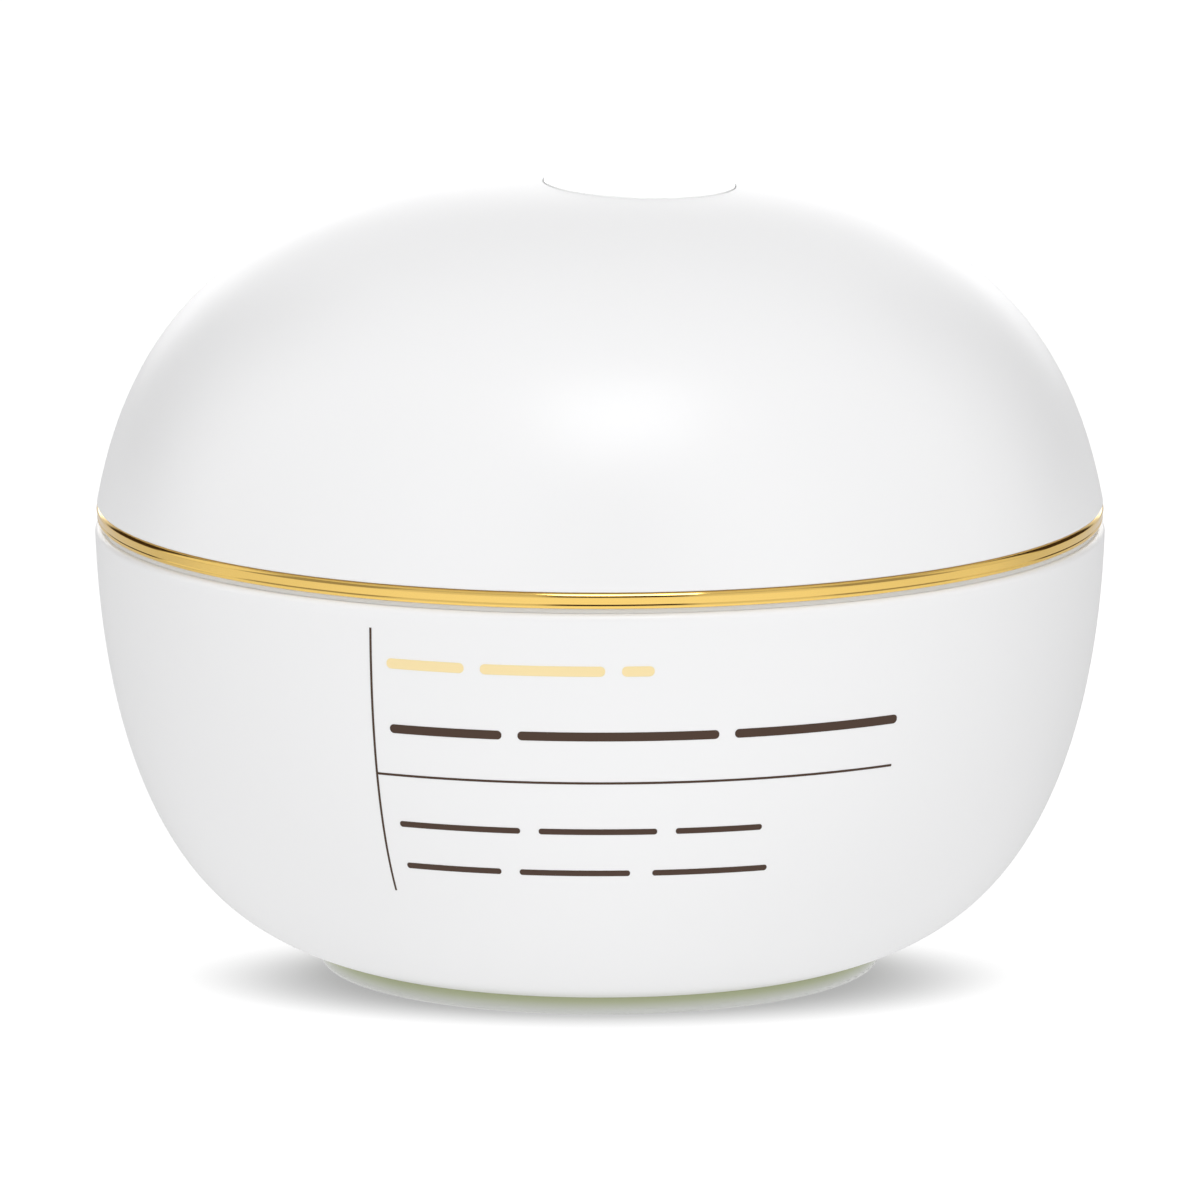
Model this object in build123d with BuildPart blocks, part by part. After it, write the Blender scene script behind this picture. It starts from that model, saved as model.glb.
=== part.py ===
from build123d import *
import os

# A 50 ml face-cream jar: a heavy pebble-shaped glass bowl with a threaded neck, a loose sealing
# disc in the mouth, and a domed two-shell screw cap with a gold ring round its lower edge.
# Millimetres, +Z up. The origin is the centre of the foot on the surface the jar stands on, and
# -Y is the front. Every section is drawn on Plane.XZ as (radius, level) and turned about Z.

# ---- outer form ----
jar_radius = 37.0  # widest radius of the whole jar, just below the shoulder
total_height = 58.0  # foot to the top of the dome, without the badge
shoulder_level = 32.63  # flat top of the glass shoulder
shoulder_round = 0.5
foot_radius = 20.5
foot_height = 1.4  # bare glass band under the coating
foot_round = 0.5
push_up_radius = 17.0  # hollow under the foot, so that the jar stands on a ring
push_up_depth = 1.0

# The bowl's side is a superellipse: its equator is bowl_equator, and its pole is near the floor.
bowl_equator = 35.92
bowl_depth = 35.83
bowl_level_power = 2.195
bowl_radius_power = 4.366

# The dome is a superellipse over an equator far below the cap's lower edge.
dome_equator = 5.0
dome_radius = 38.04
dome_level_power = 4.36
dome_radius_power = 2.41
crown_height = 8.0  # top part of the dome, where its points are spaced by radius

# ---- glass neck and well ----
neck_radius = 27.6  # outside of the neck between the thread's turns
rim_level = 41.5
rim_round = 0.6
neck_root_round = 0.8
well_radius = 24.8
well_floor = 7.5
well_round = 12.0  # corner between the well's side and its floor

# ---- screw thread: one right-hand ridge on the neck and one in the cap ----
thread_pitch = 4.0
thread_turns = 1.0
thread_depth = 1.3
ridge_base = 2.0  # width of a ridge at its root
ridge_top = 1.0  # and at its crest
ridge_sink = 0.4  # how far a ridge's root lies inside its wall
neck_thread_level = 35.4  # middle of the neck's ridge where it starts
cap_thread_lead = 0.25  # turns by which the cap's ridge starts after the neck's
flank_gap = 0.2  # axial clearance between the two ridges when the cap is closed

# ---- sealing disc ----
flange_radius = 27.2
flange_thickness = 0.5
plug_radius = 24.7
plug_wall = 0.8
plug_depth = 2.5  # below the rim
panel_thickness = 0.7
tab_width = 14.0
tab_thickness = 0.9
tab_offset = 15.0  # from the axis towards the front
tab_height = 1.3  # above the panel, so it stays under the wad

# ---- wad and inner cap ----
wad_radius = 27.7
wad_thickness = 1.5
seat_radius = 27.95  # inner cap round the wad
seat_depth = 1.2
skirt_inner = 29.2
skirt_outer = 30.8
skirt_level = 32.66  # lower edge of the inner cap, just above the shoulder
ring_seat_radius = 35.8  # thick part of the foot flange, inside the ring
ring_seat_level = 33.4
lip_radius = 36.52  # thin lip of the foot flange, which shows below the ring
lip_level = 33.0
ceiling_thickness = 1.2
rib_count = 16
rib_thickness = 1.0
rib_root = 0.5  # how far a rib starts inside the skirt
rib_foot_radius = 33.8  # lower part of a rib, inside the ring's collar
rib_top = 42.5
rib_gap = 0.05  # between a rib and the shell round it

# ---- outer shell and ring ----
shell_wall = 1.8
shell_level = 34.2  # lower edge of the outer shell
shell_edge_round = 0.15
socket_radius = 34.9  # straight lower end of the shell's inside, round the ring's collar
socket_top = 36.6
ring_radius = 36.72
ring_level = 33.02
ring_height = 1.12
ring_top_round = 0.42
ring_foot_round = 0.2
ring_web_gap = 0.02  # between the ring's inner part and the flange under it
ring_step_gap = 0.08  # between the ring's outer part and the flange's step
collar_outer = 34.84
collar_inner = 34.0
collar_top = 36.4

# ---- badge on the dome ----
badge_radius = 7.0
badge_offset = 2.88  # its centre sits this far right of the axis
badge_thickness = 0.27
badge_edge_round = 0.1
pocket_depth = 0.2
pocket_gap = 0.08  # round the badge's edge
glue_gap = 0.03  # under the badge

# ---- levels and places that follow from the sizes above ----
flange_top = rim_level + flange_thickness
ceiling_level = flange_top + wad_thickness
panel_level = rim_level - plug_depth + plug_wall
panel_top = panel_level + panel_thickness
ring_top = ring_level + ring_height
thread_crest = neck_radius + thread_depth
cap_thread_crest = skirt_inner - thread_depth
flank_slope = (ridge_base - ridge_top) / (2 * thread_depth)
ridge_spacing = ridge_top + flank_slope * (thread_crest - cap_thread_crest) + flank_gap
cap_thread_level = neck_thread_level + thread_pitch * cap_thread_lead - ridge_spacing


def bowl_radius_at(level):
    """Outside radius of the glass bowl at a level."""
    drop = (bowl_equator - level) / bowl_depth
    return jar_radius * (1 - drop**bowl_level_power) ** (1 / bowl_radius_power)


def dome_radius_at(level, wall=0.0):
    """Radius of the cap's dome at a level, on the surface that lies wall inside the outer one."""
    rise = (level - dome_equator) / (total_height - dome_equator - wall)
    return (dome_radius - wall) * (1 - rise**dome_level_power) ** (1 / dome_radius_power)


def dome_level_at(radius, wall=0.0):
    """Level of the same surface at a radius."""
    out = radius / (dome_radius - wall)
    height = total_height - dome_equator - wall
    return dome_equator + height * (1 - out**dome_radius_power) ** (1 / dome_level_power)


def steps(first, last, count, crowding=1.0):
    """count + 1 values from first to last, closer together near first when crowding is over 1."""
    return [first + (last - first) * (n / count) ** crowding for n in range(count + 1)]


def dome_points(edge_level, wall=0.0):
    """The dome's section from its lower edge to its pole."""
    side_levels = steps(edge_level, total_height - wall - crown_height, 6)
    side = [(dome_radius_at(level, wall), level) for level in side_levels]
    crown_radii = steps(side[-1][0], 0.0, 8)[1:]
    return side + [(radius, dome_level_at(radius, wall)) for radius in crown_radii]


def thread_ridge(root, crest, level):
    """A helical ridge of trapezium section on a wall of radius root."""
    outwards = 1 if crest > root else -1
    buried = root - outwards * ridge_sink
    with BuildPart() as ridge:
        with BuildLine() as helix:
            Helix(thread_pitch, thread_pitch * thread_turns, root, center=(0, 0, level))
        with BuildSketch(Plane.XZ):
            Polygon(
                (buried, level - ridge_base / 2),
                (root, level - ridge_base / 2),
                (crest, level - ridge_top / 2),
                (crest, level + ridge_top / 2),
                (root, level + ridge_base / 2),
                (buried, level + ridge_base / 2),
                align=None,
            )
        sweep(path=helix.line, is_frenet=True)
    return ridge.part


def dome_disc(radius, low, high):
    """A round disc at the badge's place, from low to high above the dome's surface."""
    reach = badge_offset + radius + 1
    crown = [(r, dome_level_at(r)) for r in steps(0.0, reach, 6)]
    with BuildPart() as disc:
        with BuildSketch(Plane.XZ):
            with BuildLine():
                under = Spline(*[(r, level + low) for r, level in crown])
                over = Spline(*[(r, level + high) for r, level in crown])
                Line(under @ 0, over @ 0)
                Line(under @ 1, over @ 1)
            make_face()
        revolve(axis=Axis.Z)
        with BuildSketch(Plane.XY.offset(total_height - crown_height)):
            with Locations((badge_offset, 0)):
                Circle(radius)
        extrude(amount=2 * crown_height, mode=Mode.INTERSECT)
    return disc.part


# ---- glass jar: coated bowl, bare foot, shoulder, threaded neck and round-cornered well ----
neck_thread = thread_ridge(neck_radius, thread_crest, neck_thread_level)
bowl_levels = steps(foot_height, shoulder_level - shoulder_round, 8, crowding=1.8)

with BuildPart() as glass_jar:
    with BuildSketch(Plane.XZ):
        with BuildLine():
            side = Spline(*[(bowl_radius_at(level), level) for level in bowl_levels])
            shoulder_start = ((side @ 1).X - shoulder_round, shoulder_level)
            TangentArc(side @ 1, shoulder_start, tangent=side % 1)
            Line(shoulder_start, (neck_radius + neck_root_round, shoulder_level))
            neck_foot = (neck_radius, shoulder_level + neck_root_round)
            TangentArc(
                (neck_radius + neck_root_round, shoulder_level), neck_foot, tangent=(-1, 0)
            )
            neck = Line(neck_foot, (neck_radius, rim_level - rim_round))
            TangentArc(neck @ 1, (neck_radius - rim_round, rim_level), tangent=(0, 1))
            rim = Line((neck_radius - rim_round, rim_level), (well_radius + rim_round, rim_level))
            TangentArc(rim @ 1, (well_radius, rim_level - rim_round), tangent=(-1, 0))
            well = Line((well_radius, rim_level - rim_round), (well_radius, well_floor + well_round))
            TangentArc(well @ 1, (well_radius - well_round, well_floor), tangent=(0, -1))
            Line((well_radius - well_round, well_floor), (0, well_floor))
            Line((0, well_floor), (0, push_up_depth))
            push_up_side = (push_up_radius / 2, 0.75 * push_up_depth)
            ThreePointArc((0, push_up_depth), push_up_side, (push_up_radius, 0))
            stand = Line((push_up_radius, 0), (foot_radius - foot_round, 0))
            TangentArc(stand @ 1, (foot_radius, foot_round), tangent=(1, 0))
            Line((foot_radius, foot_round), side @ 0)
        make_face()
    revolve(axis=Axis.Z)
    add(neck_thread)

glass_jar.part.label = "glass_jar"

# ---- sealing disc: flange on the rim, plug in the mouth, sunken panel with a finger tab ----
with BuildPart() as sealing_disc:
    with BuildSketch(Plane.XZ):
        Polygon(
            (0, panel_level),
            (plug_radius - plug_wall, panel_level),
            (plug_radius - plug_wall, rim_level - plug_depth),
            (plug_radius - plug_wall / 2, rim_level - plug_depth),
            (plug_radius, rim_level - plug_depth + plug_wall),
            (plug_radius, rim_level),
            (flange_radius, rim_level),
            (flange_radius, flange_top),
            (plug_radius - plug_wall, flange_top),
            (plug_radius - plug_wall, panel_top),
            (0, panel_top),
            align=None,
        )
    revolve(axis=Axis.Z)
    with BuildSketch(Plane.XZ.offset(tab_offset)):
        Polygon(
            (-tab_width / 2, panel_level),
            (tab_width / 2, panel_level),
            (tab_width / 2, panel_top),
            (tab_width / 2 - tab_height, panel_top + tab_height),
            (tab_height - tab_width / 2, panel_top + tab_height),
            (-tab_width / 2, panel_top),
            align=None,
        )
    extrude(amount=tab_thickness)

sealing_disc.part.label = "sealing_disc"

# ---- wad: loose foam disc between the sealing disc and the inner cap ----
with BuildPart() as sealing_wad:
    with BuildSketch(Plane.XY.offset(flange_top)):
        Circle(wad_radius)
    extrude(amount=wad_thickness)

sealing_wad.part.label = "sealing_wad"

# ---- inner cap: threaded skirt, seat for the wad, ribs that carry the shell, and a foot flange
# whose thin lip closes the gap between the ring and the glass shoulder ----
cap_thread = thread_ridge(skirt_inner, cap_thread_crest, cap_thread_level)
rib_levels = steps(socket_top + rib_gap, rib_top, 4)
rib_edge = [(dome_radius_at(level, shell_wall) - rib_gap, level) for level in rib_levels]

with BuildPart() as rib:
    with BuildSketch(Plane.XZ):
        with BuildLine():
            rib_side = Spline(*rib_edge)
            Polyline(
                rib_side @ 1,
                (skirt_outer - rib_root, rib_top),
                (skirt_outer - rib_root, skirt_level),
                (rib_foot_radius, skirt_level),
                (rib_foot_radius, socket_top + rib_gap),
                rib_side @ 0,
            )
        make_face()
    extrude(amount=rib_thickness / 2, both=True)

with BuildPart() as inner_cap:
    with BuildSketch(Plane.XZ):
        Polygon(
            (skirt_inner, skirt_level),
            (lip_radius, skirt_level),
            (lip_radius, lip_level),
            (ring_seat_radius, lip_level),
            (ring_seat_radius, ring_seat_level),
            (skirt_outer, ring_seat_level),
            (skirt_outer, ceiling_level),
            (skirt_outer - ceiling_thickness, ceiling_level + ceiling_thickness),
            (0, ceiling_level + ceiling_thickness),
            (0, ceiling_level),
            (seat_radius, ceiling_level),
            (seat_radius, ceiling_level - seat_depth),
            (skirt_inner, ceiling_level - seat_depth),
            align=None,
        )
    revolve(axis=Axis.Z)
    add(cap_thread, rotation=(0, 0, 360 * cap_thread_lead))
    with PolarLocations(0, rib_count):
        add(rib.part)

inner_cap.part.label = "inner_cap"

# ---- dome shell: the white outer cap, with the badge's pocket in its top ----
edge_start = shell_level + shell_edge_round

with BuildPart() as dome_shell:
    with BuildSketch(Plane.XZ):
        with BuildLine():
            outside = Spline(*dome_points(edge_start))
            inside = Spline(*dome_points(socket_top, shell_wall))
            Line(outside @ 1, inside @ 1)
            Polyline(
                inside @ 0,
                (socket_radius, socket_top),
                (socket_radius, shell_level),
                ((outside @ 0).X - shell_edge_round, shell_level),
            )
            TangentArc(
                outside @ 0,
                ((outside @ 0).X - shell_edge_round, shell_level),
                tangent=-(outside % 0),
            )
        make_face()
    revolve(axis=Axis.Z)
    add(dome_disc(badge_radius + pocket_gap, -pocket_depth, 1.0), mode=Mode.SUBTRACT)

dome_shell.part.label = "dome_shell"

# ---- badge: thin round disc glued in the pocket, a little right of the axis ----
badge_under = glue_gap - pocket_depth

with BuildPart() as dome_badge:
    add(dome_disc(badge_radius, badge_under, badge_under + badge_thickness))
    top_edge = dome_badge.edges().group_by(Axis.Z)[-1]
    fillet(top_edge, badge_edge_round)

dome_badge.part.label = "dome_badge"

# ---- trim ring: gold band with rounded edges, stepped over the flange, with a collar inside
# the shell ----
ring_web_level = ring_seat_level + ring_web_gap

with BuildPart() as trim_ring:
    with BuildSketch(Plane.XZ) as ring_section:
        Polygon(
            (collar_inner, ring_web_level),
            (ring_seat_radius + ring_step_gap, ring_web_level),
            (ring_seat_radius + ring_step_gap, ring_level),
            (ring_radius, ring_level),
            (ring_radius, ring_top),
            (collar_outer, ring_top),
            (collar_outer, collar_top),
            (collar_inner, collar_top),
            align=None,
        )
        fillet(ring_section.vertices().group_by(Axis.X)[-1].sort_by(Axis.Y)[0], ring_foot_round)
        fillet(ring_section.vertices().group_by(Axis.X)[-1].sort_by(Axis.Y)[-1], ring_top_round)
    revolve(axis=Axis.Z)

trim_ring.part.label = "trim_ring"

# ---- one STEP file per piece ----
os.makedirs("parts", exist_ok=True)
export_step(glass_jar.part, "parts/glass_jar.step")
export_step(sealing_disc.part, "parts/sealing_disc.step")
export_step(sealing_wad.part, "parts/sealing_wad.step")
export_step(inner_cap.part, "parts/inner_cap.step")
export_step(dome_shell.part, "parts/dome_shell.step")
export_step(dome_badge.part, "parts/dome_badge.step")
export_step(trim_ring.part, "parts/trim_ring.step")
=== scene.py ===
import math

import bpy
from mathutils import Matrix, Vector


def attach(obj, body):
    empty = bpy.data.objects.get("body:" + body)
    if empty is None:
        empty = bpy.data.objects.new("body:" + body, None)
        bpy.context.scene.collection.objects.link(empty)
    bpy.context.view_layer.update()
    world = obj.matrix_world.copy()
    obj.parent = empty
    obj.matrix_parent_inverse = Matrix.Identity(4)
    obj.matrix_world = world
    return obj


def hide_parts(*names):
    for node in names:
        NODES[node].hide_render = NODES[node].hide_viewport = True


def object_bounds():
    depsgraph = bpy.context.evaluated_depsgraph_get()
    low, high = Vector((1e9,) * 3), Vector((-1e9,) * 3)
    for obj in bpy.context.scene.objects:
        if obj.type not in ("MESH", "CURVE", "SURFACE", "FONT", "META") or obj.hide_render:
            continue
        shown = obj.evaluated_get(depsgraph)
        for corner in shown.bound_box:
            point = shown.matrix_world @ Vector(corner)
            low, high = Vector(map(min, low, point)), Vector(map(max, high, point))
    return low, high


# A satin white cream jar with a gold ring, on a white light table under soft studio light.
# Metres, +Z up, the front is -Y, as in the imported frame.

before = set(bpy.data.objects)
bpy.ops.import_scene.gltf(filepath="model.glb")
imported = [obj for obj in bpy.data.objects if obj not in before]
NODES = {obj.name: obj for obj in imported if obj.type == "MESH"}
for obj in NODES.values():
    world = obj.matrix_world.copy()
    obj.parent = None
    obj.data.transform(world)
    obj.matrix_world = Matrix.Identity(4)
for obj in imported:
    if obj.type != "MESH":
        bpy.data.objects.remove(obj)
cad_low, cad_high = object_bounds()
MM = 0.001
SLOPE_STEP = 0.01 * MM  # over which a section's slope is measured

# ---- places on the glass jar ----
TOTAL_HEIGHT = cad_high.z
JAR_RADIUS = 37.0 * MM  # the bowl at its widest
BOWL_EQUATOR, BOWL_DEPTH = 35.92 * MM, 35.83 * MM  # the bowl's side is a superellipse
BOWL_LEVEL_POWER, BOWL_RADIUS_POWER = 2.195, 4.366
SHOULDER_LEVEL, SHOULDER_ROUND = 32.63 * MM, 0.5 * MM
COAT_FOOT = 1.46 * MM  # lower edge of the white lacquer
COAT_TOP = 32.75 * MM  # upper edge, at the root of the neck
COAT_RAISE, COAT_SINK = 0.02 * MM, 0.06 * MM  # its faces, from the glass's surface
COAT_INNER = 30.5 * MM  # how far in it lies as a skin on the shoulder's flat
WELL_TOP_RADIUS = 25.4 * MM  # between the well's wall and everything outside it
WELL_FLOOR = 7.2 * MM  # just under the well's floor
LIP_START = 36.3 * MM  # radius from which the inner cap shows below the gold ring and its painted shade begins

# ---- grain and relief of the surfaces ----
SATIN_GRAIN, SATIN_RELIEF = 0.25 * MM, 0.002 * MM
PRESSED_GRAIN, PRESSED_RELIEF = 2 * MM, 0.004 * MM
POLYMER_GRAIN, POLYMER_RELIEF = 0.6 * MM, 0.006 * MM
FILM_GRAIN, FILM_RELIEF = 1.2 * MM, 0.0005 * MM
GOLD_GRAIN, GOLD_RELIEF = 0.3 * MM, 0.0004 * MM
PRINT_GRAIN, PRINT_RELIEF = 0.2 * MM, 0.001 * MM
FOAM_CELL, FOAM_RELIEF = 0.5 * MM, 0.05 * MM
GLOSS_PATCH = 9 * MM  # the gloss wanders over patches of this size
GLOSS_DETAIL, GRAIN_DETAIL = 2.0, 3.0  # octaves of noise


# ---------------------------------------------------------------- node helpers
def new_tree(name):
    """A new material and its empty node tree."""
    made = bpy.data.materials.new(name)
    made.use_nodes = True
    made.node_tree.nodes.clear()
    return made, made.node_tree


def add_node(tree, kind, **settings):
    """A node with its properties and, by input name, its unlinked values set."""
    node = tree.nodes.new(kind)
    for key, value in settings.items():
        if hasattr(node, key):
            setattr(node, key, value)
        else:
            node.inputs[key.replace("_", " ")].default_value = value
    return node


def maths(tree, operation, *values):
    """A maths node on sockets or numbers."""
    node = tree.nodes.new("ShaderNodeMath")
    node.operation = operation
    for socket, value in zip(node.inputs, values):
        if isinstance(value, bpy.types.NodeSocket):
            tree.links.new(value, socket)
        else:
            socket.default_value = value
    return node.outputs[0]


def ramp(tree, value, start, end):
    """A soft step of a socket, 0 at start and 1 at end."""
    node = add_node(tree, "ShaderNodeMapRange")
    node.interpolation_type = "SMOOTHSTEP"
    tree.links.new(value, node.inputs["Value"])
    node.inputs["From Min"].default_value = start
    node.inputs["From Max"].default_value = end
    return node.outputs["Result"]


def mix_shaders(tree, factor, first, second):
    """The first shader where the factor is 0, the second where it is 1."""
    node = add_node(tree, "ShaderNodeMixShader")
    tree.links.new(factor, node.inputs["Fac"])
    tree.links.new(first, node.inputs[1])
    tree.links.new(second, node.inputs[2])
    return node.outputs["Shader"]


def object_place(tree):
    """Sockets of the object coordinates, the level and the distance from the jar's axis."""
    place = add_node(tree, "ShaderNodeTexCoord").outputs["Object"]
    split = add_node(tree, "ShaderNodeSeparateXYZ")
    tree.links.new(place, split.inputs["Vector"])
    x, y, z = split.outputs
    square = maths(tree, "ADD", maths(tree, "MULTIPLY", x, x), maths(tree, "MULTIPLY", y, y))
    return place, z, maths(tree, "SQRT", square)


def noise(tree, place, grain, detail):
    """Noise of a grain size in metres."""
    node = add_node(tree, "ShaderNodeTexNoise", Scale=1.0 / grain, Detail=detail)
    tree.links.new(place, node.inputs["Vector"])
    return node.outputs["Fac"]


def bumped(tree, height_socket, height):
    """A normal from a height socket, whose 0 to 1 stands for a height in metres."""
    bump = add_node(tree, "ShaderNodeBump", Strength=1.0, Distance=height)
    tree.links.new(height_socket, bump.inputs["Height"])
    return bump.outputs["Normal"]


def varied(tree, place, grain, low, high):
    """A value that wanders between low and high over noise of a grain size in metres."""
    spread = add_node(tree, "ShaderNodeMapRange", To_Min=low, To_Max=high)
    tree.links.new(noise(tree, place, grain, GLOSS_DETAIL), spread.inputs["Value"])
    return spread.outputs["Result"]


def surface(tree, place, colour, roughness, grain, height, spread=0.03, **settings):
    """A principled shader with a fine grain and a slowly wandering gloss."""
    shader = add_node(tree, "ShaderNodeBsdfPrincipled", **settings)
    shader.inputs["Base Color"].default_value = (*colour, 1.0)
    gloss = varied(tree, place, GLOSS_PATCH, roughness - spread, roughness + spread)
    tree.links.new(gloss, shader.inputs["Roughness"])
    normal = bumped(tree, noise(tree, place, grain, GRAIN_DETAIL), height)
    tree.links.new(normal, shader.inputs["Normal"])
    return shader


def finished(made, tree, shader_socket):
    """The material, with its output linked."""
    out = add_node(tree, "ShaderNodeOutputMaterial")
    tree.links.new(shader_socket, out.inputs["Surface"])
    return made


# ---------------------------------------------------------------- materials
LACQUER_WHITE = (0.80, 0.80, 0.805)
COAT_ROUGHNESS = 0.32  # of the lacquer on its own skin
SHELL_WHITE = (0.80, 0.80, 0.805)
SHELL_ROUGHNESS = 0.36  # of the shell, and of the lacquer under that skin
GOLD, GOLD_ROUGHNESS, GOLD_SPREAD = (0.90, 0.63, 0.185), 0.07, 0.02
AMBER, AMBER_SHARE = (0.80, 0.34, 0.06), 0.06
GLASS_TINT, GLASS_ROUGHNESS, GLASS_IOR = (0.975, 0.985, 0.968), 0.03, 1.5
FOOT_PAINTED_TABLE_LIGHT = (0.53, 0.54, 0.515, 1.0)  # painted light: the bare foot paled where the lit table shines up through it
FOOT_OLIVE_AND_SHADE = (0.36, 0.39, 0.235, 1.0)  # and the thick green glass under the lacquer's edge, darkened with painted shade
FOOT_PAINTED_LIGHT_TOP, FOOT_OLIVE_SHADE_FROM = 0.2 * MM, 1.3 * MM
FOOT_ROUGHNESS = 0.12
LINER_WHITE, LINER_ROUGHNESS, LINER_WEIGHT = (0.84, 0.84, 0.84), 0.4, 0.2
# Painted shade on the inner cap's lip in the recess under the gold ring, and the width it fades in
# over
LIP_PAINTED_SHADE, LIP_SHADE_FADE = (0.74, 0.735, 0.715), 0.1 * MM
DISC_WHITE, DISC_ROUGHNESS, DISC_WEIGHT = (0.80, 0.80, 0.77), 0.33, 0.5
LIGHT_REACH = 1.5 * MM  # how far light gets in the translucent polymers
FOAM_WHITE, FOAM_ROUGHNESS = (0.82, 0.82, 0.81, 1.0), 0.7
FILM_WHITE, FILM_ROUGHNESS, FILM_IOR = (0.95, 0.95, 0.95), 0.10, 2.0
INK, INK_ROUGHNESS, INK_IOR = (0.060, 0.032, 0.020), 0.35, 1.33
FOIL, FOIL_ROUGHNESS, FOIL_METALLIC = (0.91, 0.74, 0.40), 0.33, 0.5


def clear_glass(tree):
    """Pressed glass; light passes straight through it on its way to what lies behind."""
    glass = add_node(
        tree, "ShaderNodeBsdfPrincipled", IOR=GLASS_IOR, Roughness=GLASS_ROUGHNESS
    )
    glass.inputs["Base Color"].default_value = (*GLASS_TINT, 1.0)
    glass.inputs["Transmission Weight"].default_value = 1.0
    through = add_node(tree, "ShaderNodeBsdfTransparent")
    through.inputs["Color"].default_value = (*GLASS_TINT, 1.0)
    path = add_node(tree, "ShaderNodeLightPath")
    passing = maths(
        tree, "MAXIMUM", path.outputs["Is Shadow Ray"], path.outputs["Is Diffuse Ray"]
    )
    return mix_shaders(tree, passing, glass.outputs["BSDF"], through.outputs["BSDF"])


def foot_glass(tree, place, z):
    """The bare foot: green glass, pale with painted light from the table at its bottom, olive and
    darker with painted shade under the lacquer.
    """
    shader = surface(tree, place, (1, 1, 1), FOOT_ROUGHNESS, PRESSED_GRAIN, PRESSED_RELIEF)
    # Painted light and shade: the foot's colour runs from pale at the table up to shaded olive
    # under the lacquer.
    tone = add_node(tree, "ShaderNodeMix", data_type="RGBA")
    tree.links.new(ramp(tree, z, FOOT_PAINTED_LIGHT_TOP, FOOT_OLIVE_SHADE_FROM), tone.inputs["Factor"])
    tone.inputs["A"].default_value = FOOT_PAINTED_TABLE_LIGHT
    tone.inputs["B"].default_value = FOOT_OLIVE_AND_SHADE
    tree.links.new(tone.outputs["Result"], shader.inputs["Base Color"])
    return shader.outputs["BSDF"]


def white_lacquer():
    return moulded("white_lacquer", LACQUER_WHITE, COAT_ROUGHNESS, SATIN_GRAIN, SATIN_RELIEF)


def coated_glass():
    """Pressed glass with a satin white lacquer on the bowl's outside, bare at foot and neck."""
    made, tree = new_tree("coated_glass")
    place, z, r = object_place(tree)
    lacquer = surface(tree, place, LACQUER_WHITE, SHELL_ROUGHNESS, SATIN_GRAIN, SATIN_RELIEF)
    outside = maths(tree, "GREATER_THAN", r, WELL_TOP_RADIUS)
    under_well = maths(tree, "LESS_THAN", z, WELL_FLOOR)
    below_neck = maths(tree, "LESS_THAN", z, COAT_TOP)
    coated = maths(tree, "MULTIPLY", maths(tree, "MAXIMUM", outside, under_well), below_neck)
    body = mix_shaders(tree, coated, clear_glass(tree), lacquer.outputs["BSDF"])
    above_foot = maths(tree, "GREATER_THAN", z, COAT_FOOT)
    return finished(made, tree, mix_shaders(tree, above_foot, foot_glass(tree, place, z), body))


def moulded(name, colour, roughness, grain, height, **settings):
    """A moulded polymer or printed ink: one colour, a fine grain and a wandering gloss."""
    made, tree = new_tree(name)
    place, _, _ = object_place(tree)
    shader = surface(tree, place, colour, roughness, grain, height, **settings)
    return finished(made, tree, shader.outputs["BSDF"])


def lacquered_gold():
    """Bright metallising under a thin amber lacquer, which leaves its dark lines brown."""
    made, tree = new_tree("gold_ring")
    place, _, _ = object_place(tree)
    metal = surface(
        tree, place, GOLD, GOLD_ROUGHNESS, GOLD_GRAIN, GOLD_RELIEF, GOLD_SPREAD, Metallic=1.0
    )
    amber = add_node(tree, "ShaderNodeBsdfDiffuse")
    amber.inputs["Color"].default_value = (*AMBER, 1.0)
    share = add_node(tree, "ShaderNodeValue").outputs["Value"]
    share.default_value = AMBER_SHARE
    mixed = mix_shaders(tree, share, metal.outputs["BSDF"], amber.outputs["BSDF"])
    return finished(made, tree, mixed)


def translucent(name, colour, roughness, weight):
    """A thin natural polymer that lets some light in."""
    made = moulded(name, colour, roughness, POLYMER_GRAIN, POLYMER_RELIEF)
    shader = next(n for n in made.node_tree.nodes if n.type == "BSDF_PRINCIPLED")
    shader.inputs["Subsurface Weight"].default_value = weight
    shader.inputs["Subsurface Scale"].default_value = LIGHT_REACH
    shader.inputs["Subsurface Radius"].default_value = (1.0, 1.0, 1.0)
    return made


def liner_polymer():
    """The inner cap's polymer, with painted shade on the thin lip that shows below the gold ring,
    in the recess under the ring.
    """
    made = translucent("liner_polymer", LINER_WHITE, LINER_ROUGHNESS, LINER_WEIGHT)
    tree = made.node_tree
    _, _, r = object_place(tree)
    shader = next(n for n in tree.nodes if n.type == "BSDF_PRINCIPLED")
    # Painted shade: the lip's outer face is greyed from LIP_START outwards, where the gold ring
    # shades it.
    tone = add_node(tree, "ShaderNodeMix", data_type="RGBA")
    tree.links.new(ramp(tree, r, LIP_START, LIP_START + LIP_SHADE_FADE), tone.inputs["Factor"])
    tone.inputs["A"].default_value = (*LINER_WHITE, 1.0)
    tone.inputs["B"].default_value = (*LIP_PAINTED_SHADE, 1.0)
    tree.links.new(tone.outputs["Result"], shader.inputs["Base Color"])
    return made


def foam():
    """Closed-cell foam: small rounded cells."""
    made, tree = new_tree("foam_wad")
    place, _, _ = object_place(tree)
    cells = add_node(tree, "ShaderNodeTexVoronoi", Scale=1.0 / FOAM_CELL)
    tree.links.new(place, cells.inputs["Vector"])
    shader = add_node(tree, "ShaderNodeBsdfPrincipled", Roughness=FOAM_ROUGHNESS)
    shader.inputs["Base Color"].default_value = FOAM_WHITE
    normal = bumped(tree, cells.outputs["Distance"], FOAM_RELIEF)
    tree.links.new(normal, shader.inputs["Normal"])
    return finished(made, tree, shader.outputs["BSDF"])


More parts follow.
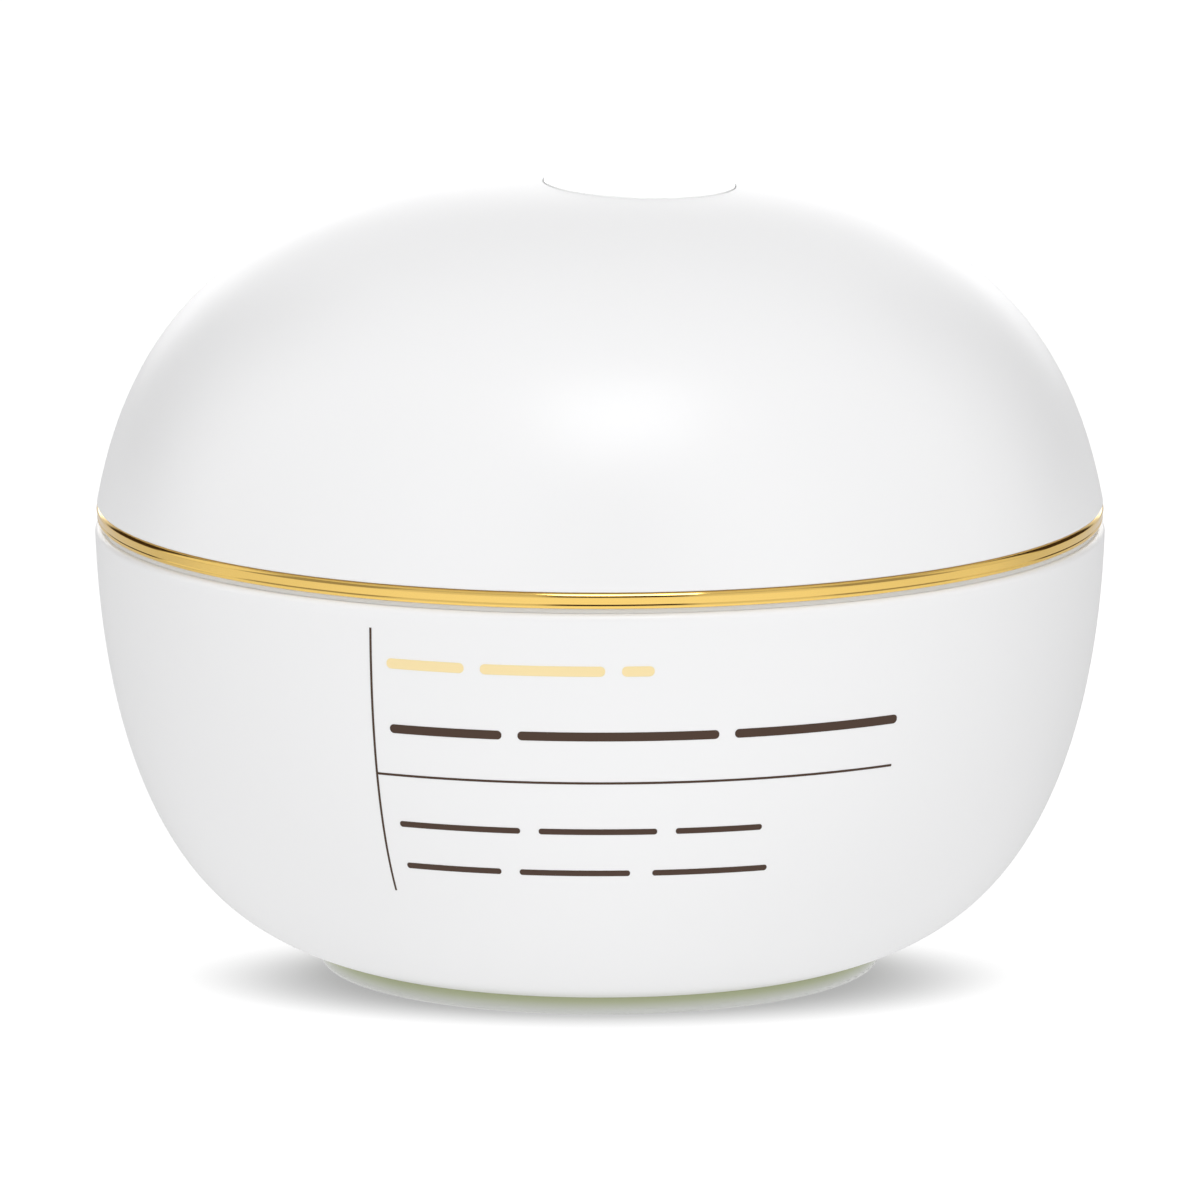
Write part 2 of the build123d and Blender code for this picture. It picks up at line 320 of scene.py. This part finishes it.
def paint(node, material):
    """One material for the whole of a CAD node."""
    mesh = NODES[node].data
    mesh.materials.clear()
    mesh.materials.append(material)
    for face in mesh.polygons:
        face.material_index = 0


def white_shell():
    return moulded("white_shell", SHELL_WHITE, SHELL_ROUGHNESS, SATIN_GRAIN, SATIN_RELIEF)


def badge_film():
    return moulded(
        "badge_film", FILM_WHITE, FILM_ROUGHNESS, FILM_GRAIN, FILM_RELIEF, IOR=FILM_IOR
    )


paint("glass_jar", coated_glass())
paint("dome_shell", white_shell())
paint("inner_cap", liner_polymer())
paint("sealing_disc", translucent("natural_polymer", DISC_WHITE, DISC_ROUGHNESS, DISC_WEIGHT))
paint("sealing_wad", foam())
paint("dome_badge", badge_film())


# ---------------------------------------------------------------- turned pieces
TURNS = 240  # faces round a turned piece
SHARP_ANGLE = 40  # degrees between faces from which their edge isn't shaded smooth
SIDE_COUNT, INNER_COUNT = 56, 28  # levels on the lacquer's outer and inner face
SIDE_CROWDING = 1.4  # levels lie closer together near the foot


def arc(start, radius, first, last, count=8):
    """A section's arc from a point. Its normal turns from first to last degrees above outwards."""
    angles = [math.radians(first + (last - first) * n / count) for n in range(count + 1)]
    x = start[0] - radius * math.cos(angles[0])
    z = start[1] - radius * math.sin(angles[0])
    return [(x + radius * math.cos(a), z + radius * math.sin(a)) for a in angles]


def turned(name, section, material, body, slot):
    """A closed section of (radius, level) points turned about Z."""
    corners, faces = [], []
    for n in range(TURNS):
        a = 2 * math.pi * n / TURNS
        corners += [(r * math.cos(a), r * math.sin(a), z) for r, z in section]
    count = len(section)
    for n in range(TURNS):
        here, there = n * count, (n + 1) % TURNS * count
        for k in range(count):
            after = (k + 1) % count
            faces.append((here + k, there + k, there + after, here + after))
    mesh = bpy.data.meshes.new(name)
    mesh.from_pydata(corners, [], faces)
    mesh.shade_smooth()
    mesh.set_sharp_from_angle(angle=math.radians(SHARP_ANGLE))
    mesh.materials.append(material)
    piece = bpy.data.objects.new(name, mesh)
    bpy.context.scene.collection.objects.link(piece)
    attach(piece, body)
    return piece


def bowl_radius_at(level):
    """The glass bowl's outside radius."""
    drop = (BOWL_EQUATOR - level) / BOWL_DEPTH
    return JAR_RADIUS * (1 - drop**BOWL_LEVEL_POWER) ** (1 / BOWL_RADIUS_POWER)


def bowl_slope_at(level):
    """How much the bowl's radius grows with the level."""
    return (bowl_radius_at(level + SLOPE_STEP) - bowl_radius_at(level)) / SLOPE_STEP


def bowl_line(raised, count):
    """The bowl's side and shoulder from the foot up, raised off the glass."""
    top = SHOULDER_LEVEL - SHOULDER_ROUND
    levels = [COAT_FOOT + (top - COAT_FOOT) * (n / count) ** SIDE_CROWDING for n in range(count)]
    side = []
    for level in levels:
        out = Vector((1.0, -bowl_slope_at(level))).normalized() * raised
        side.append((bowl_radius_at(level) + out.x, level + out.y))
    corner = arc((bowl_radius_at(top) + raised, top), SHOULDER_ROUND + raised, 0, 90)
    return side + corner + [(COAT_INNER, SHOULDER_LEVEL + raised)]


def lacquer_coat():
    """The white lacquer: a skin over the bowl's outside and its shoulder, open at the foot."""
    section = bowl_line(COAT_RAISE, SIDE_COUNT) + bowl_line(-COAT_SINK, INNER_COUNT)[::-1]
    return turned("lacquer_coat", section, white_lacquer(), "jar", "coated_glass")


def gold_band():
    """The trim ring: a polished face between a rounded top edge and a fine lower bead."""
    face_foot, face_top = (36.77 * MM, 33.34 * MM), (36.85 * MM, 33.80 * MM)
    face_lean = -10  # the face's normal, in degrees above outwards
    bead_foot, foot_round, bead_round = (36.70 * MM, 33.03 * MM), 0.05 * MM, 0.28 * MM
    edge_round, brow_round, lip_round = 0.26 * MM, 0.55 * MM, 0.03 * MM
    step_in, step_up = 0.004 * MM, 0.02 * MM  # breaks of the face's two ends
    outside = arc(bead_foot, foot_round, -90, -40, 3)
    outside += arc(outside[-1], bead_round, -40, 30)[1:]
    outside += [face_foot, (face_foot[0] + step_in, face_foot[1] + step_up)]
    outside += [(face_top[0] - step_in, face_top[1] - step_up)]
    outside += arc(face_top, edge_round, face_lean, 27, 6)
    outside += arc(outside[-1], brow_round, 27, 55, 6)[1:]
    outside += arc(outside[-1], lip_round, 55, 90, 4)[1:]
    top = outside[-1][1]
    foot = outside[0][1]
    seat, web = 35.88 * MM, 33.42 * MM
    collar_in, collar_out, collar_top = 34.0 * MM, 34.84 * MM, 36.4 * MM
    inside = [(collar_out, top), (collar_out, collar_top), (collar_in, collar_top)]
    inside += [(collar_in, web), (seat, web), (seat, foot)]
    band = turned("gold_band", outside + inside, lacquered_gold(), "ring", "gold_ring")
    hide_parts("trim_ring")


lacquer_coat()
gold_band()


# ---------------------------------------------------------------- print on the bowl
PRINT_RAISE = 0.02 * MM  # the ink stands this far out of the lacquer
PRINT_SINK = 0.02 * MM  # and its underside lies this far in it
MARGIN_AZIMUTH = -26.7  # of the margin, in degrees from the front, positive to the right
MARGIN_FOOT, MARGIN_TOP = -26.95, -26.35  # the upright rule leans a little across it
RULE_WIDTH = 0.17 * MM
TEXT_START = -24.5  # left end of the rows
TEXT_END = 36.0  # right end of the longest row
CAP_TURNS = 6  # steps of a bar's round end, to its full height
BAR_STEP = 1.5  # degrees between the stations of a bar
LEVEL_RULE_COUNT, UPRIGHT_RULE_COUNT = 44, 24
RULE_FOOT, RULE_TOP = 11.0 * MM, 31.0 * MM  # of the upright rule
LEVEL_RULE_LEVEL = 20.15 * MM
# Rows of plain bars in the place of wording: each bar's start and end as shares of the row, the
# row's right end in degrees, its level and the bars' height.
GOLD_ROW = [(0, 0.30), (0.36, 0.82), (0.88, 1)], 6.1, 28.5 * MM, 0.75 * MM
BOLD_ROW = [(0, 0.22), (0.25, 0.63), (0.66, 1)], TEXT_END, 23.65 * MM, 0.66 * MM
UPPER_FINE_ROW = [(0, 0.34), (0.39, 0.71), (0.76, 1)], 19.6, 16.4 * MM, 0.44 * MM
LOWER_FINE_ROW = [(0, 0.27), (0.32, 0.62), (0.68, 1)], 21.0, 13.15 * MM, 0.44 * MM


def on_bowl(azimuth, level):
    """The point of the lacquer's outside at an azimuth in degrees and a level, and its normal."""
    a = math.radians(azimuth)
    radius = bowl_radius_at(level) + COAT_RAISE
    out = Vector((math.sin(a), -math.cos(a), 0))
    normal = (out - Vector((0, 0, bowl_slope_at(level)))).normalized()
    return out * radius + Vector((0, 0, level)), normal


def slab(stations):
    """A closed thin slab over pairs of edge points (azimuth, level)."""
    corners, faces = [], []
    for pair in stations:
        for azimuth, level in pair:
            point, normal = on_bowl(azimuth, level)
            corners += [point + normal * PRINT_RAISE, point - normal * PRINT_SINK]
    for n in range(len(stations) - 1):
        a, b = 4 * n, 4 * n + 4
        faces += [(a, a + 2, b + 2, b), (a + 3, a + 1, b + 1, b + 3)]
        faces += [(a + 1, a, b, b + 1), (a + 2, a + 3, b + 3, b + 2)]
    last = 4 * len(stations) - 4
    faces += [(0, 1, 3, 2), (last + 2, last + 3, last + 1, last)]
    return corners, faces


def bar(start, end, level, height):
    """A level bar with round ends, as stations along its length."""
    half = height / 2
    reach = math.degrees(half / JAR_RADIUS)
    count = max(6, round((end - start) / BAR_STEP))
    turns = [math.radians(90 * n / CAP_TURNS) for n in range(1, CAP_TURNS)]
    left = [(start + reach * (1 - math.cos(t)), half * math.sin(t)) for t in turns]
    right = [(end - reach * (1 - math.cos(t)), half * math.sin(t)) for t in reversed(turns)]
    steps = [(end - start - 2 * reach) * n / count for n in range(count + 1)]
    middle = [(start + reach + step, half) for step in steps]
    return [((a, level - rise), (a, level + rise)) for a, rise in left + middle + right]


def upright_rule(low, high):
    """The rule in the margin, as stations from its lower end up."""
    half = math.degrees(RULE_WIDTH / 2 / JAR_RADIUS)
    stations = []
    for n in range(UPRIGHT_RULE_COUNT + 1):
        share = n / UPRIGHT_RULE_COUNT
        azimuth = MARGIN_FOOT + (MARGIN_TOP - MARGIN_FOOT) * share
        level = low + (high - low) * share
        stations.append(((azimuth + half, level), (azimuth - half, level)))
    return stations


def level_rule(start, end, level):
    turns = [start + (end - start) * n / LEVEL_RULE_COUNT for n in range(LEVEL_RULE_COUNT + 1)]
    return [((a, level - RULE_WIDTH / 2), (a, level + RULE_WIDTH / 2)) for a in turns]


def print_piece(name, parts, material):
    """One piece of several slabs, riding the jar."""
    corners, faces = [], []
    for stations in parts:
        more_corners, more_faces = slab(stations)
        faces += [tuple(i + len(corners) for i in face) for face in more_faces]
        corners += more_corners
    mesh = bpy.data.meshes.new(name)
    mesh.from_pydata(corners, [], faces)
    mesh.materials.append(material)
    piece = bpy.data.objects.new(name, mesh)
    bpy.context.scene.collection.objects.link(piece)
    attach(piece, "jar")


def placeholder_row(shares, end, level, height):
    """Plain bars, from share to share of the way to the row's end, in the place of wording."""
    span = end - TEXT_START
    return [bar(TEXT_START + span * a, TEXT_START + span * b, level, height) for a, b in shares]


def draw_print():
    ink = moulded("print_ink", INK, INK_ROUGHNESS, PRINT_GRAIN, PRINT_RELIEF, IOR=INK_IOR)
    foil = moulded(
        "print_foil", FOIL, FOIL_ROUGHNESS, PRINT_GRAIN, PRINT_RELIEF, Metallic=FOIL_METALLIC
    )
    upright = upright_rule(RULE_FOOT, RULE_TOP)
    print_piece("print_upright_rule", [upright], ink)
    level = level_rule(MARGIN_AZIMUTH, TEXT_END, LEVEL_RULE_LEVEL)
    print_piece("print_level_rule", [level], ink)
    print_piece("print_gold_row", placeholder_row(*GOLD_ROW), foil)
    print_piece("print_bold_row", placeholder_row(*BOLD_ROW), ink)
    print_piece("print_upper_fine_row", placeholder_row(*UPPER_FINE_ROW), ink)
    print_piece("print_lower_fine_row", placeholder_row(*LOWER_FINE_ROW), ink)


draw_print()


# ---------------------------------------------------------------- stage
TABLE_GLOW = 0.74  # the light table, as it lights the jar
PAINTED_POOL_GLOW = 0.24  # painted light: a pool added to the glow where the table is lit most, in front of the jar
POOL_PLACE, POOL_HALVES = -65 * MM, (120 * MM, 80 * MM)  # Y of its middle; across, in depth
REAR_PAINTED_SHADE = 0.20  # painted shade: glow taken off behind the jar
REAR_START, REAR_END = -15 * MM, 35 * MM  # in Y, from none of it to all of it
TABLE_SEEN = 0.94  # the light table as the camera sees it
TABLE_PAINTED_SHADOW = 0.36  # and under the bowl, as painted shadow
SHADE_PLACE, SHADE_HALVES = -7.0 * MM, (29.5 * MM, 17.5 * MM)  # the bowl's soft shadow, painted into the table's glow
SHADE_START, SHADE_END = 0.60, 1.12  # as shares of those
TABLE_WHITE = 0.15  # the share of the light on it that it gives back
TABLE_HALF = 6.0  # in metres


def table_shader(tree, emission):
    """Diffuse white that glows."""
    shader = add_node(tree, "ShaderNodeBsdfPrincipled", IOR=1.0)
    shader.inputs["Base Color"].default_value = (TABLE_WHITE, TABLE_WHITE, TABLE_WHITE, 1.0)
    shader.inputs["Emission Color"].default_value = (1.0, 1.0, 1.0, 1.0)
    tree.links.new(emission, shader.inputs["Emission Strength"])
    return shader.outputs["BSDF"]


def ellipse_reach(tree, x, y, middle, halves):
    """Distance from (0, middle), as a share of an ellipse's halves across and in depth."""
    across = maths(tree, "DIVIDE", x, halves[0])
    depth = maths(tree, "DIVIDE", maths(tree, "SUBTRACT", y, middle), halves[1])
    squares = [maths(tree, "MULTIPLY", way, way) for way in (across, depth)]
    return maths(tree, "SQRT", maths(tree, "ADD", *squares))


def table_top():
    """A wide white light table, with a soft shadow painted into its glow round the jar's foot."""
    h = TABLE_HALF
    mesh = bpy.data.meshes.new("table_top")
    mesh.from_pydata([(-h, -h, 0), (h, -h, 0), (h, h, 0), (-h, h, 0)], [], [(0, 1, 2, 3)])
    table = bpy.data.objects.new("table_top", mesh)
    bpy.context.scene.collection.objects.link(table)
    made, tree = new_tree("table_white")
    place = add_node(tree, "ShaderNodeSeparateXYZ")
    tree.links.new(add_node(tree, "ShaderNodeTexCoord").outputs["Object"], place.inputs["Vector"])
    x, y, _ = place.outputs
    # Painted light: the table glows more in a soft pool in front of the jar.
    painted_pool = ramp(tree, ellipse_reach(tree, x, y, POOL_PLACE, POOL_HALVES), 1, 0)
    glow = maths(tree, "MULTIPLY_ADD", painted_pool, PAINTED_POOL_GLOW, TABLE_GLOW)
    # Painted shade: the table glows less behind the jar.
    rear_shade = ramp(tree, y, REAR_START, REAR_END)
    glow = maths(tree, "MULTIPLY_ADD", rear_shade, -REAR_PAINTED_SHADE, glow)
    # Painted shadow: as the camera sees it, the table's glow drops in a soft ellipse round the
    # foot, under the bowl.
    reach = ellipse_reach(tree, x, y, SHADE_PLACE, SHADE_HALVES)
    open_air = ramp(tree, reach, SHADE_START, SHADE_END)
    seen = maths(tree, "MULTIPLY_ADD", open_air, TABLE_SEEN - TABLE_PAINTED_SHADOW, TABLE_PAINTED_SHADOW)
    camera_ray = add_node(tree, "ShaderNodeLightPath").outputs["Is Camera Ray"]
    mixed = mix_shaders(tree, camera_ray, table_shader(tree, glow), table_shader(tree, seen))
    mesh.materials.append(finished(made, tree, mixed))


def softbox(name, azimuth, elevation, distance, width, height, radiance):
    """An area light that faces the jar. Azimuth 0 is straight in front, positive to the right."""
    target = Vector((0, 0, TOTAL_HEIGHT / 2))
    a, e = math.radians(azimuth), math.radians(elevation)
    towards = Vector((math.sin(a) * math.cos(e), -math.cos(a) * math.cos(e), math.sin(e)))
    data = bpy.data.lights.new(name, "AREA")
    data.shape = "RECTANGLE"
    data.size, data.size_y = width, height
    data.energy = radiance * math.pi * width * height
    lamp = bpy.data.objects.new(name, data)
    lamp.location = target + towards * distance
    lamp.rotation_mode = "QUATERNION"
    lamp.rotation_quaternion = towards.to_track_quat("Z", "Y")
    bpy.context.scene.collection.objects.link(lamp)


# Large soft panels around the jar: azimuth and elevation of the middle, half width and half
# height, all in degrees, radiance as a light, and radiance in what mirrors it. It stays dark
# between the two in front.
PANELS = {
    "overhead": (0, 90, 400, 45, 0.655, 0.70),
    "left": (-31, 15, 19, 28, 2.08, 0.75),
    "right": (38, 15, 17, 28, 2.19, 0.77),
    "side_left": (-105, 15, 15, 28, 2.35, 0.90),
    "side_right": (104, 15, 15, 28, 1.88, 0.75),
    "between_left": (-70, 15, 20, 28, 0.25, 0.35),
    "between_right": (72, 15, 17, 28, 0.25, 0.35),
    "back": (180, 15, 29, 28, 1.1, 0.79),
    "horizon": (180, 2, 20, 14, 0.0, 1.68),
}
KEY_AZIMUTH, KEY_ELEVATION, KEY_DISTANCE = 8, 58, 0.60
KEY_WIDTH, KEY_HEIGHT, KEY_RADIANCE = 0.27, 0.24, 4.4
PANEL_EDGE = 4.0  # degrees over which a panel fades
BACKDROP = 1.05  # what the camera sees behind everything


def panel_mask(tree, azimuth, elevation, middle, half):
    """1 inside a panel, 0 outside it."""
    turned = maths(tree, "SUBTRACT", azimuth, math.radians(middle[0]))
    sideways = maths(tree, "ABSOLUTE", maths(tree, "WRAP", turned, math.pi, -math.pi))
    upwards = maths(tree, "ABSOLUTE", maths(tree, "SUBTRACT", elevation, math.radians(middle[1])))
    masks = []
    for angle, limit in zip((sideways, upwards), half):
        inner, outer = math.radians(limit - PANEL_EDGE), math.radians(limit + PANEL_EDGE)
        masks.append(ramp(tree, angle, outer, inner))
    return maths(tree, "MULTIPLY", *masks)


def studio_world():
    """The panels, seen by the jar and the glass but not by the camera, which sees plain white."""
    world = bpy.data.worlds.new("studio")
    world.use_nodes = True
    tree = world.node_tree
    tree.nodes.clear()
    direction = add_node(tree, "ShaderNodeSeparateXYZ")
    tree.links.new(add_node(tree, "ShaderNodeTexCoord").outputs["Generated"], direction.inputs[0])
    x, y, z = direction.outputs
    azimuth = maths(tree, "ARCTAN2", x, maths(tree, "MULTIPLY", y, -1.0))
    elevation = maths(tree, "ARCSINE", z)
    path = add_node(tree, "ShaderNodeLightPath")
    mirrored = path.outputs["Is Glossy Ray"]
    total = None
    for panel_az, panel_el, half_az, half_el, radiance, shine in PANELS.values():
        mask = panel_mask(tree, azimuth, elevation, (panel_az, panel_el), (half_az, half_el))
        strength = maths(tree, "MULTIPLY_ADD", mirrored, shine - radiance, radiance)
        lit = maths(tree, "MULTIPLY", mask, strength)
        total = lit if total is None else maths(tree, "ADD", total, lit)
    light = add_node(tree, "ShaderNodeBackground")
    light.inputs["Color"].default_value = (1, 1, 1, 1)
    tree.links.new(total, light.inputs["Strength"])
    seen = add_node(tree, "ShaderNodeBackground", Strength=BACKDROP)
    seen.inputs["Color"].default_value = (1, 1, 1, 1)
    shown = mix_shaders(
        tree, path.outputs["Is Camera Ray"], light.outputs["Background"], seen.outputs["Background"]
    )
    out = add_node(tree, "ShaderNodeOutputWorld")
    tree.links.new(shown, out.inputs["Surface"])
    bpy.context.scene.world = world


table_top()
studio_world()
softbox("key", KEY_AZIMUTH, KEY_ELEVATION, KEY_DISTANCE, KEY_WIDTH, KEY_HEIGHT, KEY_RADIANCE)


# ---------------------------------------------------------------- camera
CAMERA_ELEVATION = 10.62
CAMERA_DISTANCE = 1258 * MM
TARGET_LEVEL = 26.8 * MM
VIEW_WIDTH = 87.95 * MM  # what the frame spans at the jar's axis
SENSOR = 36.0  # in millimetres, as the lens
CLIP_NEAR, CLIP_FAR = 0.05, 20.0


def make_camera():
    """A long lens in front of the jar, a little above level."""
    data = bpy.data.cameras.new("camera")
    data.sensor_width = SENSOR
    data.lens = SENSOR * CAMERA_DISTANCE / VIEW_WIDTH
    data.clip_start, data.clip_end = CLIP_NEAR, CLIP_FAR
    camera = bpy.data.objects.new("camera", data)
    bpy.context.scene.collection.objects.link(camera)
    e = math.radians(CAMERA_ELEVATION)
    back = Vector((0, -math.cos(e), math.sin(e)))
    camera.location = Vector((0, 0, TARGET_LEVEL)) + back * CAMERA_DISTANCE
    camera.rotation_mode = "QUATERNION"
    camera.rotation_quaternion = (-back).to_track_quat("-Z", "Y")
    bpy.context.scene.camera = camera


make_camera()
bpy.context.scene.view_settings.view_transform = "Standard"
